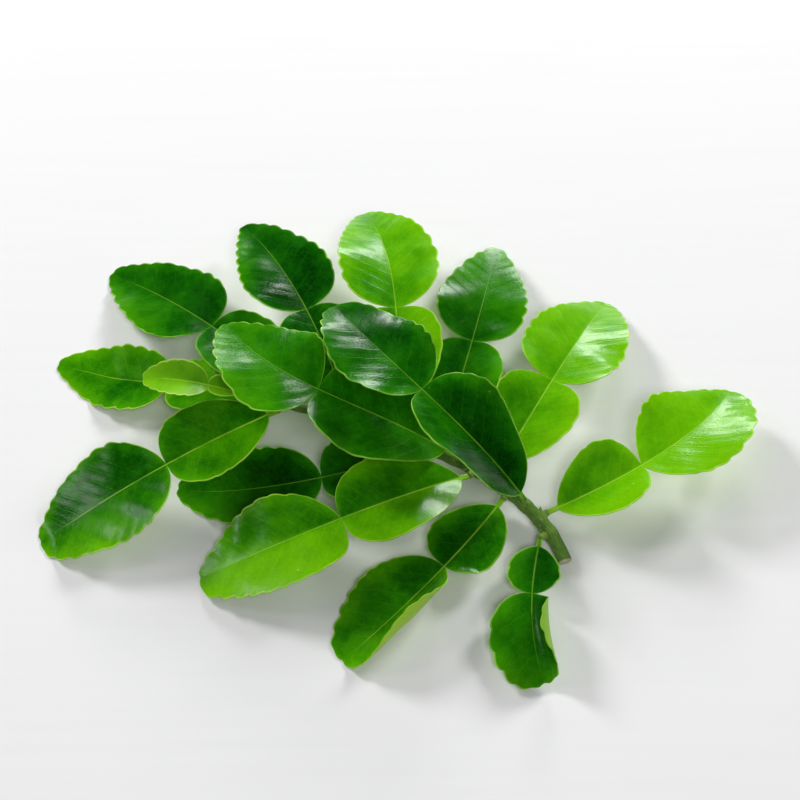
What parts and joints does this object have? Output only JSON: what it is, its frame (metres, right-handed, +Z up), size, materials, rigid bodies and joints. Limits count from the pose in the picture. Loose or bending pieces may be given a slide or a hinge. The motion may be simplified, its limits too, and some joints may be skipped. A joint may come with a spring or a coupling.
{
  "type": "makrut lime leaf sprig",
  "caption": "Cut sprig of makrut lime lying flat: a green woody twig with glossy double leaves, each a toothed blade joined end to end with a broad winged petiole.",
  "frame": {"origin": "middle of the bounding box's bottom, on the plane that the sprig lies on", "axes": "+Z up out of the surface, +X to the viewer's right along the sprig's longer side, +Y away from the viewer; the twig's cut end points to +X and -Y and its growing tip to -X"},
  "size_m": [0.2546, 0.1974, 0.0467],
  "materials": {
    "leaf_deep_green": "glossy, deep green, leathery leaf surface",
    "leaf_fresh_green": "glossy, bright yellow-green, leathery leaf surface",
    "young_leaf_green": "satin, pale yellow-green, soft young leaf",
    "twig_bark": "satin, green young bark with pale specks and a pale cut end"
  },
  "bodies": {
    "root": {"twig": "twig_bark", "leaf_01": "leaf_deep_green", "leaf_02": "leaf_fresh_green", "leaf_03": "leaf_deep_green", "leaf_04": "leaf_fresh_green", "leaf_05": "leaf_fresh_green", "leaf_06": "leaf_fresh_green", "leaf_07": "leaf_deep_green", "leaf_08": "leaf_deep_green", "leaf_09": "leaf_deep_green", "leaf_10": "leaf_fresh_green", "leaf_11": "leaf_deep_green", "leaf_12": "leaf_deep_green", "leaf_13": "leaf_fresh_green", "leaf_14": "leaf_fresh_green", "young_leaf": "young_leaf_green"}
  },
  "joints": []
}
